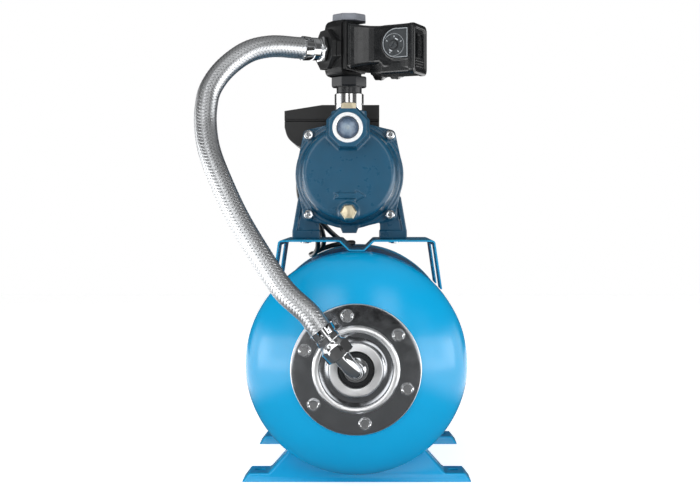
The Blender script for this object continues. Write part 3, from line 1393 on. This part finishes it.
MANIFOLD_DEPTH = PUMP_FLANGE_DEPTH - DELIVERY_OFFSET
MANIFOLD_PLACE = standing(PUMP_X, MANIFOLD_DEPTH, 0)
SWITCH_PLACE = standing(PUMP_X, MANIFOLD_DEPTH, 0, SWITCH_YAW)
SWITCH_SEAT = 0.0036
SWITCH_BASE_THICKNESS = 0.0062
SWITCH_HOUSING_START = SWITCH_SEAT + SWITCH_BASE_THICKNESS + 2 * GAP
PLUNGER_Z = MANIFOLD_BOTTOM_Z + 0.0364
PLUNGER_RADIUS = 0.004
PLUNGER_TIP = 0.038
ROCKER_Z = MANIFOLD_BOTTOM_Z + 0.0224
ROCKER_LENGTH = 0.020
ROOM_FRONT = 0.0135
ROOM_BACK = 0.0175
ROOM_FLOOR = 0.0149
ROOM_CEILING = 0.0544
GLAND_Z = MANIFOLD_BOTTOM_Z + 0.0054
SWITCH_GLANDS = ((0.0288, 0.0260), (0.0530, 0.0223))
GLAND_ROOT = 0.0017


def sideways(height, yaw, reach=0.0):
    """Frame inside an upright one whose +Z points level along yaw."""
    turn = Matrix.Rotation(yaw, 4, "Z") @ Matrix.Rotation(math.radians(90), 4, "Y")
    return Matrix.Translation((0, 0, height)) @ turn @ Matrix.Translation((0, 0, reach))


def build_delivery(paints):
    """Nipple, union nut, manifold, check valve and top plug on the delivery port."""
    seat = PUMP_AXIS_Z + DELIVERY_TOP + GAP
    thread = DELIVERY_BORE_RADIUS - GAP
    bore = MANIFOLD_BORE_RADIUS
    edge = 0.0008
    bm = bmesh.new()
    lathe(bm, [
        (bore, seat - 0.012), (thread, seat - 0.012), (thread, seat), (NIPPLE_RADIUS, seat),
        (NIPPLE_RADIUS, NIPPLE_TOP_Z - edge), (NIPPLE_RADIUS - edge, NIPPLE_TOP_Z),
        (bore, NIPPLE_TOP_Z),
    ], TUBE_STEPS, loop=True)
    make("delivery_nipple", bm, paints["chrome"], MANIFOLD_PLACE)

    neck_low = NIPPLE_TOP_Z + GAP
    bm = bmesh.new()
    prism(bm, regular(8, UNION_ACROSS), UNION_BOTTOM_Z, MANIFOLD_BOTTOM_Z - GAP)
    nut = make("union_nut", bm, paints["black"], MANIFOLD_PLACE)
    hole = bmesh.new()
    cylinder(hole, NECK_OUTER_RADIUS + THREAD_GAP, UNION_BOTTOM_Z - 0.002, MANIFOLD_BOTTOM_Z + 0.002,
             TUBE_STEPS)
    cut(nut, hole)

    radius = MANIFOLD_RADIUS
    top = MANIFOLD_TOP_Z
    low = MANIFOLD_BOTTOM_Z
    bm = bmesh.new()
    lathe(bm, [
        (0, neck_low), (NECK_OUTER_RADIUS, neck_low), (NECK_OUTER_RADIUS, low), (radius * 0.80, low),
        (radius * 0.95, low + 0.003), (radius, low + 0.009), (radius, top - 0.009),
        (radius * 0.95, top - 0.003), (radius * 0.80, top), (0, top),
    ], BODY_STEPS)
    body = make("manifold_body", bm, paints["black"], MANIFOLD_PLACE)
    port = bmesh.new()
    prism(port, regular(8, PORT_OUTLET_ACROSS), 0.010, PORT_OUTLET_REACH,
          sideways(PORT_AXIS_Z, PORT_YAW))
    add(body, port)
    yaw = Matrix.Rotation(SWITCH_YAW, 4, "Z")
    deck = 0.002
    slab = bmesh.new()
    block(slab, -0.0028, SWITCH_SEAT + 0.002, -0.030, 0.030, low + 0.0055, top - 0.0027, yaw)
    add(body, slab)
    room = bmesh.new()
    block(room, SWITCH_SEAT, 0.050, -0.040, 0.040, low + deck + 0.0015, top - deck, yaw)
    cut(body, room)
    chamber = bmesh.new()
    cylinder(chamber, 0.010, low - 0.002, PORT_AXIS_Z + 0.014, TUBE_STEPS,
             yaw @ Matrix.Translation((-0.0105, 0, 0)))
    cut(body, chamber)
    inlet = bmesh.new()
    lathe(inlet, [
        (0, neck_low - 0.002), (VALVE_SEAT_BORE, neck_low - 0.002),
        (VALVE_SEAT_BORE, neck_low + VALVE_SEAT_HEIGHT), (bore, neck_low + VALVE_SEAT_HEIGHT),
        (bore, low + 0.002), (0, low + 0.002),
    ], TUBE_STEPS)
    cut(body, inlet)
    outlet = bmesh.new()
    cylinder(outlet, bore * 0.85, 0.008, PORT_OUTLET_REACH + 0.002, TUBE_STEPS,
             sideways(PORT_AXIS_Z, PORT_YAW))
    cut(body, outlet)
    sensing = bmesh.new()
    cylinder(sensing, 0.002, -0.006, SWITCH_SEAT + 0.001, SMALL_STEPS,
             sideways(PLUNGER_Z, SWITCH_YAW))
    cut(body, sensing)

    bm = bmesh.new()
    prism(bm, regular(8, TOP_PLUG_ACROSS), top + GAP, top + TOP_PLUG_HEIGHT, taper=0.985)
    make("outlet_plug", bm, paints["plug_grey"], MANIFOLD_PLACE)
    build_check_valve(paints, neck_low)
    at = sideways(PORT_AXIS_Z, PORT_YAW)
    build_hose_end("hose_end_upper", PORT_OUTLET_REACH + GAP, HOSE_UPPER_NUT_LENGTH,
                   HOSE_UPPER_FERRULE_LENGTH, MANIFOLD_PLACE, at, paints)


def build_check_valve(paints, neck_low):
    """Spring-loaded check valve in the manifold's neck."""
    low = neck_low + VALVE_SEAT_HEIGHT + GAP
    bm = bmesh.new()
    lathe(bm, [(0, low), (0.0095, low), (0.0100, low + 0.0015), (0.0045, low + 0.003),
               (0.0020, low + 0.0035), (0.0020, low + 0.009), (0, low + 0.009)], TUBE_STEPS)
    make("check_valve_poppet", bm, paints["plastic_grey"], MANIFOLD_PLACE)


def build_switch(paints):
    """Pressure switch: base, funnel-shaped housing, end cover, dial plate, dial and glands."""
    seat = SWITCH_SEAT + GAP
    start = SWITCH_HOUSING_START
    low = MANIFOLD_BOTTOM_Z + 0.006
    high = MANIFOLD_TOP_Z - 0.0032
    as_profile = Matrix(((0, 0, 1, 0), (1, 0, 0, 0), (0, 1, 0, 0), (0, 0, 0, 1)))
    bm = bmesh.new()
    prism(bm, rounded(-0.0295, 0.0295, low, high, 0.003), seat, start - GAP, as_profile)
    base = make("switch_base", bm, paints["black"], SWITCH_PLACE)
    pocket = bmesh.new()
    cylinder(pocket, 0.0115, seat - 0.002, seat + 0.0036, TUBE_STEPS, sideways(PLUNGER_Z, 0))
    cut(base, pocket)
    hole = bmesh.new()
    cylinder(hole, 0.0045, seat, start + 0.002, SMALL_STEPS, sideways(PLUNGER_Z, 0))
    cut(base, hole)

    sections = (
        (start, SWITCH_WIDE_HALF, 0.0280, 0.0074, 0.0644),
        (0.0180, 0.0250, 0.0272, 0.0089, 0.0631),
        (0.0280, 0.0215, 0.0258, 0.0109, 0.0616),
        (0.0400, 0.0187, 0.0240, 0.0124, 0.0604),
        (0.0500, SWITCH_WAIST_HALF, 0.0228, 0.0124, 0.0600),
        (SWITCH_HEAD_START, 0.0195, 0.0223, 0.0084, 0.0602),
        (SWITCH_HEAD_START + 0.002, SWITCH_HALF, SWITCH_HALF, 0.0054, SWITCH_TOP_RISE),
        (SWITCH_HEAD_END, SWITCH_HALF, SWITCH_HALF, 0.0024, SWITCH_TOP_RISE),
    )
    loops = []
    for u, front, back, bottom, top in sections:
        outline = rounded(-front, back, MANIFOLD_BOTTOM_Z + bottom, MANIFOLD_BOTTOM_Z + top, 0.004, 2)
        loops.append([(u, y, z) for y, z in outline])
    bm = bmesh.new()
    loft(bm, loops)
    housing = make("switch_housing", bm, paints["black"], SWITCH_PLACE, sharp=30)
    keel = bmesh.new()
    keel_top = SWITCH_BOTTOM_Z + 0.016
    loft(keel, [
        [(0.033, y, z) for y, z in rounded(-0.008, 0.0215, SWITCH_BOTTOM_Z + 0.001, keel_top, 0.003, 2)],
        [(0.052, y, z) for y, z in rounded(-0.0175, 0.0215, SWITCH_BOTTOM_Z, keel_top, 0.003, 2)],
        [(SWITCH_HEAD_END, y, z) for y, z in rounded(-0.0215, 0.0215, SWITCH_BOTTOM_Z, keel_top, 0.003, 2)],
    ])
    add(housing, keel)
    room = bmesh.new()
    block(room, 0.030, SWITCH_HEAD_END + 0.002, -ROOM_FRONT, ROOM_BACK,
          MANIFOLD_BOTTOM_Z + ROOM_FLOOR, MANIFOLD_BOTTOM_Z + ROOM_CEILING)
    cut(housing, room)
    way = bmesh.new()
    cylinder(way, 0.0045, start - 0.002, 0.032, SMALL_STEPS, sideways(PLUNGER_Z, 0))
    cut(housing, way)

    plate_radius = 0.0185
    plate_centre = SWITCH_HEAD_START + 0.0025 + plate_radius
    recess = 0.0015
    plate_end = SWITCH_HEAD_END - 0.0006
    facing = Matrix.Rotation(math.radians(90), 4, "X")

    def plate_outline(margin):
        round_side = arc(plate_centre, DIAL_PLATE_Z, plate_radius + margin, 90, 270, 10)
        side = DIAL_PLATE_Z - plate_radius - margin
        return round_side + [(plate_end + margin, side), (plate_end + margin, 2 * DIAL_PLATE_Z - side)]

    sunk = bmesh.new()
    prism(sunk, plate_outline(0), SWITCH_HALF - recess, SWITCH_HALF + 0.003, facing)
    cut(housing, sunk)
    spindle = 0.002
    dial_u = 0.070
    dial_z = DIAL_PLATE_Z - 0.002
    dial_at = facing @ Matrix.Translation((dial_u, dial_z, 0))
    dial_bore = bmesh.new()
    cylinder(dial_bore, spindle + GAP, SWITCH_HALF - 0.012, SWITCH_HALF + 0.002, SMALL_STEPS, dial_at)
    cut(housing, dial_bore)

    bm = bmesh.new()
    plate_front = SWITCH_HALF - recess + GAP + 0.001
    prism(bm, plate_outline(-GAP), SWITCH_HALF - recess + GAP, plate_front, facing)
    plate = make("dial_plate", bm, paints["plate_grey"], SWITCH_PLACE)
    hole = bmesh.new()
    cylinder(hole, spindle + GAP, SWITCH_HALF - 0.004, SWITCH_HALF + 0.002, SMALL_STEPS, dial_at)
    cut(plate, hole)

    dial_place = SWITCH_PLACE @ dial_at
    dial_axis = axis_empty("dial_axis", dial_place)
    bm = bmesh.new()
    face = plate_front + GAP
    lathe(bm, [
        (0, face - 0.0065), (spindle, face - 0.0065), (spindle, face), (DIAL_RADIUS, face),
        (DIAL_RADIUS, face + 0.0012), (DIAL_RADIUS - 0.0006, face + 0.0018), (0, face + 0.0018),
    ], TUBE_STEPS)
    dial = make("adjusting_dial", bm, paints["plate_grey"], dial_place, dial_axis)
    slot = bmesh.new()
    block(slot, -0.0006, 0.0006, -0.0036, 0.0036, face + 0.0008, face + 0.003,
          Matrix.Rotation(math.radians(-35), 4, "Z"))
    cut(dial, slot)

    bm = bmesh.new()
    cover_start = SWITCH_HEAD_END + GAP
    half = SWITCH_HALF + 0.001
    loft(bm, [
        [(u, y, z) for y, z in rounded(-half + shrink, half - shrink, SWITCH_BOTTOM_Z - 0.001 + shrink,
                                       SWITCH_TOP_Z + 0.0005 - shrink, 0.006)]
        for u, shrink in ((cover_start, 0), (SWITCH_END - 0.002, 0), (SWITCH_END - 0.0006, 0.0008),
                          (SWITCH_END, 0.0022))
    ])
    make("switch_end_cover", bm, paints["black"], SWITCH_PLACE)

    for u, y in SWITCH_GLANDS:
        at = Matrix.Translation((u, y - GLAND_ROOT, GLAND_Z)) @ Matrix.Rotation(math.radians(-90), 4, "X")
        socket = bmesh.new()
        gland(socket, at, GLAND_ROOT)
        add(housing, socket)


def build_switch_works(paints):
    """Plunger on the diaphragm side and the contact rocker that it tips."""
    bm = bmesh.new()
    head = SWITCH_SEAT + 3 * GAP
    lathe(bm, [(0, head), (0.0105, head), (0.0105, head + 0.0015), (PLUNGER_RADIUS, head + 0.0015),
               (PLUNGER_RADIUS, PLUNGER_TIP), (0, PLUNGER_TIP)], TUBE_STEPS)
    make("switch_plunger", bm, paints["plastic_grey"], SWITCH_PLACE @ sideways(PLUNGER_Z, 0))

    facing = Matrix.Rotation(math.radians(90), 4, "X")
    arm = PLUNGER_TIP + GAP
    pivot_u = arm + 0.0017
    axis = axis_empty("rocker_axis", SWITCH_PLACE @ Matrix.Translation((pivot_u, 0, ROCKER_Z)))
    bm = bmesh.new()
    prism(bm, [
        (arm, ROCKER_Z - 0.0017), (arm + ROCKER_LENGTH, ROCKER_Z - 0.0017),
        (arm + ROCKER_LENGTH, ROCKER_Z + 0.0005), (arm + 0.004, ROCKER_Z + 0.0012),
        (arm + 0.002, ROCKER_Z + 0.004), (arm + 0.0017, PLUNGER_Z + 0.003), (arm, PLUNGER_Z + 0.003),
    ], -0.005, 0.005, facing)
    rocker = make("contact_rocker", bm, paints["brass"], SWITCH_PLACE, axis)
    pin = bmesh.new()
    cylinder(pin, 0.0012, -ROOM_BACK + GAP, ROOM_FRONT - GAP, SMALL_STEPS,
             facing @ Matrix.Translation((pivot_u, ROCKER_Z, 0)))
    add(rocker, pin)


# Routes of the cords as (x, depth, height), chosen by hand along what the photo shows
HOSE_ROUTE = (
    (-0.105, 0.0150, 0.5375), (-0.133, 0.0040, 0.5290),
    (-0.159, -0.0060, 0.5080), (-0.175, -0.0160, 0.4830), (-0.1795, -0.0240, 0.4600),
    (-0.179, -0.0320, 0.4360), (-0.173, -0.0450, 0.4070), (-0.160, -0.0580, 0.3755),
    (-0.138, -0.0730, 0.3310), (-0.112, -0.0860, 0.2890), (-0.083, -0.0950, 0.2470),
    (-0.0545, -0.0995, 0.2205),
)
MAINS_ROUTE = (
    (0.0368, 0.1060, 0.5135), (0.0310, 0.1170, 0.5175), (0.0200, 0.1240, 0.5210),
    (0.0070, 0.1240, 0.5210), (-0.0060, 0.1213, 0.5165), (-0.0155, 0.1185, 0.5060),
    (-0.0200, 0.1173, 0.4930), (-0.0215, 0.1168, 0.4790), (-0.0245, 0.1165, 0.4660),
    (-0.0320, 0.1165, 0.4545), (-0.0430, 0.1165, 0.4450), (-0.0550, 0.1165, 0.4345),
    (-0.0655, 0.1165, 0.4215), (-0.0730, 0.1167, 0.4065), (-0.0763, 0.1185, 0.3920),
    (-0.0773, 0.1230, 0.3795), (-0.0783, 0.1320, 0.3685), (-0.0786, 0.1440, 0.3605),
    (-0.0780, 0.1580, 0.3525), (-0.0760, 0.1720, 0.3445), (-0.0720, 0.1860, 0.3350),
    (-0.0660, 0.1990, 0.3230), (-0.0600, 0.2100, 0.3100), (-0.0570, 0.2190, 0.2965),
    (-0.0570, 0.2270, 0.2845), (-0.0600, 0.2385, 0.2768), (-0.0640, 0.2530, 0.2734),
    (-0.0675, 0.2720, 0.2719), (-0.0700, 0.2950, 0.2709), (-0.0700, 0.3200, 0.2709),
    (-0.0695, 0.3400, 0.2705), (-0.0680, 0.3570, 0.2672), (-0.0660, 0.3740, 0.2575),
    (-0.0645, 0.3900, 0.2410), (-0.0630, 0.4020, 0.2180), (-0.0620, 0.4110, 0.1900), (-0.0620, 0.4180, 0.1580),
    (-0.0630, 0.4225, 0.1250), (-0.0645, 0.4250, 0.0920), (-0.0660, 0.4270, 0.0620),
    (-0.0675, 0.4295, 0.0400), (-0.0687, 0.4340, 0.0235), (-0.0696, 0.4420, 0.0130),
)
MOTOR_ROUTE = (
    (0.0588, 0.0940, 0.5123), (0.0568, 0.1070, 0.5160), (0.0485, 0.1190, 0.5210),
    (0.0360, 0.1275, 0.5263), (0.0215, 0.1315, 0.5298), (0.0070, 0.1320, 0.5280),
    (-0.0045, 0.1300, 0.5205), (-0.0110, 0.1275, 0.5080), (-0.0123, 0.1255, 0.4940),
    (-0.0118, 0.1242, 0.4800), (-0.0135, 0.1240, 0.4665), (-0.0210, 0.1240, 0.4550),
    (-0.0330, 0.1240, 0.4475), (-0.0465, 0.1240, 0.4400), (-0.0585, 0.1240, 0.4295),
    (-0.0675, 0.1243, 0.4165), (-0.0733, 0.1265, 0.4025), (-0.0758, 0.1325, 0.3895),
    (-0.0763, 0.1430, 0.3790), (-0.0760, 0.1570, 0.3710), (-0.0740, 0.1710, 0.3580),
    (-0.0685, 0.1840, 0.3435), (-0.0595, 0.1945, 0.3310), (-0.0490, 0.2040, 0.3175),
    (-0.0380, 0.2135, 0.3055), (-0.0275, 0.2235, 0.2960), (-0.0185, 0.2355, 0.2905),
    (-0.0110, 0.2490, 0.2890), (-0.0075, 0.2640, 0.2890), (-0.0090, 0.2790, 0.2890),
    (-0.0155, 0.2920, 0.2883), (-0.0270, 0.3005, 0.2866), (-0.0405, 0.3010, 0.2836),
    (-0.0520, 0.2935, 0.2798), (-0.0580, 0.2810, 0.2772), (-0.0583, 0.2670, 0.2774),
    (-0.0550, 0.2535, 0.2800), (-0.0505, 0.2410, 0.2850), (-0.0485, 0.2305, 0.2945),
    (-0.0510, 0.2245, 0.3075), (-0.0550, 0.2240, 0.3225), (-0.0615, 0.2270, 0.3375),
    (-0.0695, 0.2330, 0.3530), (-0.0760, 0.2425, 0.3695), (-0.0795, 0.2540, 0.3870),
    (-0.0803, 0.2640, 0.4045), (-0.0795, 0.2675, 0.4210), (-0.0783, 0.2625, 0.4345),
)
COIL_CENTRE = (-0.030, 0.485)


def build_cord(name, points, radius, resolution, paint):
    """Round cord along points given as (x, depth, height)."""
    curve = bpy.data.curves.new(name, "CURVE")
    curve.dimensions = "3D"
    curve.bevel_depth = radius
    curve.bevel_resolution = resolution
    curve.use_fill_caps = True
    spline = curve.splines.new("POLY")
    spline.points.add(len(points) - 1)
    for target, (x, depth, z) in zip(spline.points, points):
        target.co = (x, SEAM_Y + depth, z, 1)
    curve.materials.append(paint)
    obj = bpy.data.objects.new(name, curve)
    bpy.context.collection.objects.link(obj)


def port_point(place, at, reach):
    """Point on a fitting's axis as (x, depth, height)."""
    point = (place @ at @ Matrix.Translation((0, 0, reach))).translation
    return (point.x, point.y - SEAM_Y, point.z)


def build_cords(paints):
    """Braided hose, motor lead, mains lead, its coil on the floor and the mains plug."""
    upper = sideways(PORT_AXIS_Z, PORT_YAW)
    upper_end = PORT_OUTLET_REACH + HOSE_UPPER_NUT_LENGTH + HOSE_UPPER_FERRULE_LENGTH + 2 * GAP
    start = port_point(MANIFOLD_PLACE, upper, upper_end)
    after_start = port_point(MANIFOLD_PLACE, upper, upper_end + CORD_LEAD)
    tank_place = facing_front(0, 0, TANK_AXIS_Z)
    lower = along(Vector((0, 0, ELBOW_DEPTH)), ELBOW_DIRECTION)
    lower_end = HOSE_NUT_START + HOSE_NUT_LENGTH + HOSE_FERRULE_LENGTH + GAP
    end = port_point(tank_place, lower, lower_end)
    before_end = port_point(tank_place, lower, lower_end + CORD_LEAD)
    points = smooth_line(HOSE_ROUTE, 2)
    points = [start, after_start] + points + [before_end, end]
    build_cord("braided_hose", points, HOSE_RADIUS, 3, paints["braid"])

    back = Matrix.Rotation(math.radians(-90), 4, "X")
    exits = []
    for u, y in SWITCH_GLANDS:
        root = Matrix.Translation((u, y, GLAND_Z)) @ back
        exits.append([port_point(SWITCH_PLACE, root, GLAND_LENGTH + GAP),
                      port_point(SWITCH_PLACE, root, GLAND_LENGTH + GAP + CORD_LEAD)])
    coil_x, coil_depth = COIL_CENTRE
    inner_edge = COIL_RADIUS - CABLE_RADIUS
    across = math.sqrt((COIL_RADIUS + COIL_THICKNESS) ** 2 - inner_edge ** 2)
    mains_end = (coil_x - COIL_RADIUS, coil_depth - across - 0.0010, COIL_THICKNESS + GAP)
    points = exits[0] + list(MAINS_ROUTE) + [mains_end]
    build_cord("mains_lead", points, CABLE_RADIUS, 2, paints["rubber"])

    box_gland = Matrix.Translation((BOX_LEFT + CAPACITOR_INSET, CAPACITOR_Y,
                                    PUMP_FLANGE_DEPTH - BOX_START - BOX_LENGTH - GAP))
    box_gland = box_gland @ Matrix.Rotation(math.pi, 4, "X")
    motor_end = port_point(PUMP_PLACE, box_gland, GLAND_LENGTH + GAP)
    before = port_point(PUMP_PLACE, box_gland, GLAND_LENGTH + GAP + CORD_LEAD)
    points = exits[1] + list(MOTOR_ROUTE) + [before, motor_end]
    build_cord("motor_lead", points, CABLE_RADIUS, 2, paints["rubber"])

    bm = bmesh.new()
    ring = [
        (COIL_RADIUS + COIL_THICKNESS * math.cos(2 * math.pi * i / SMALL_STEPS),
         COIL_THICKNESS * math.sin(2 * math.pi * i / SMALL_STEPS))
        for i in range(SMALL_STEPS)
    ]
    lathe(bm, ring, TUBE_STEPS, loop=True)
    make("mains_coil", bm, paints["rubber"],
         standing(coil_x, coil_depth, COIL_THICKNESS + GAP))

    bm = bmesh.new()
    lathe(bm, [
        (0, 0), (0.0050, 0), (0.0075, 0.016), (0.0085, 0.017), (PLUG_RADIUS - 0.003, 0.024),
        (PLUG_RADIUS, 0.030), (PLUG_RADIUS, 0.052), (0, 0.052),
    ], TUBE_STEPS)
    place = standing(coil_x + COIL_RADIUS, coil_depth - across - 0.0015, COIL_THICKNESS + 0.0010)
    place = place @ Matrix.Rotation(math.radians(90 - PLUG_TILT), 4, "X")
    plug = make("mains_plug", bm, paints["rubber"], place)
    for side in (-1, 1):
        pin = bmesh.new()
        cylinder(pin, 0.0024, 0.050, 0.071, SMALL_STEPS, Matrix.Translation((side * 0.0095, 0, 0)))
        add(plug, pin)


def main():
    """Build the whole set."""
    clear_scene()
    paints = {
        "tank": finish("blue_enamel", "009DDC", 0.25, 0.0),
        "platform": finish("teal_enamel", "1B8FB8", 0.35, 0.0),
        "pump": finish("dark_blue_enamel", "2C5F80", 0.4, 0.0),
        "zinc": finish("zinc_plate", "C9CCCE", 0.3, 1.0),
        "chrome": finish("chrome_plate", "DADCDE", 0.1, 1.0),
        "brass": finish("pale_brass", "CDBB92", 0.3, 1.0),
        "bright_steel": finish("bright_steel", "B9BCC0", 0.3, 1.0),
        "black_steel": finish("blackened_steel", "1A1B1D", 0.5, 0.0),
        "aluminium": finish("cast_aluminium", "A9ADB0", 0.5, 1.0),
        "copper": finish("copper_wire", "B06A3C", 0.4, 1.0),
        "black": finish("black_plastic", "1C1E20", 0.45, 0.0),
        "plug_grey": finish("dark_grey_plastic", "2D3035", 0.5, 0.0),
        "plate_grey": finish("grey_plastic", "80868C", 0.5, 0.0),
        "plastic_grey": finish("light_grey_plastic", "8E8E88", 0.5, 0.0),
        "clear_cap": finish("clouded_plastic", "8FA6B4", 0.3, 0.0),
        "rubber": finish("black_rubber", "17181A", 0.8, 0.0),
        "braid": finish("stainless_braid", "C8CACC", 0.35, 1.0),
    }
    rotor = axis_empty("rotor_axis", PUMP_PLACE)
    build_tank(paints)
    build_bladder(paints)
    build_counterflange(paints)
    build_air_valve(paints)
    build_feet(paints)
    build_platform(paints)
    build_elbow(paints)
    build_casing(paints)
    build_casing_fittings(paints)
    build_hydraulics(paints, rotor)
    build_bracket(paints)
    build_pump_fixing(paints)
    build_motor(paints, rotor)
    build_terminal_box(paints)
    build_delivery(paints)
    build_switch(paints)
    build_switch_works(paints)
    build_cords(paints)


main()
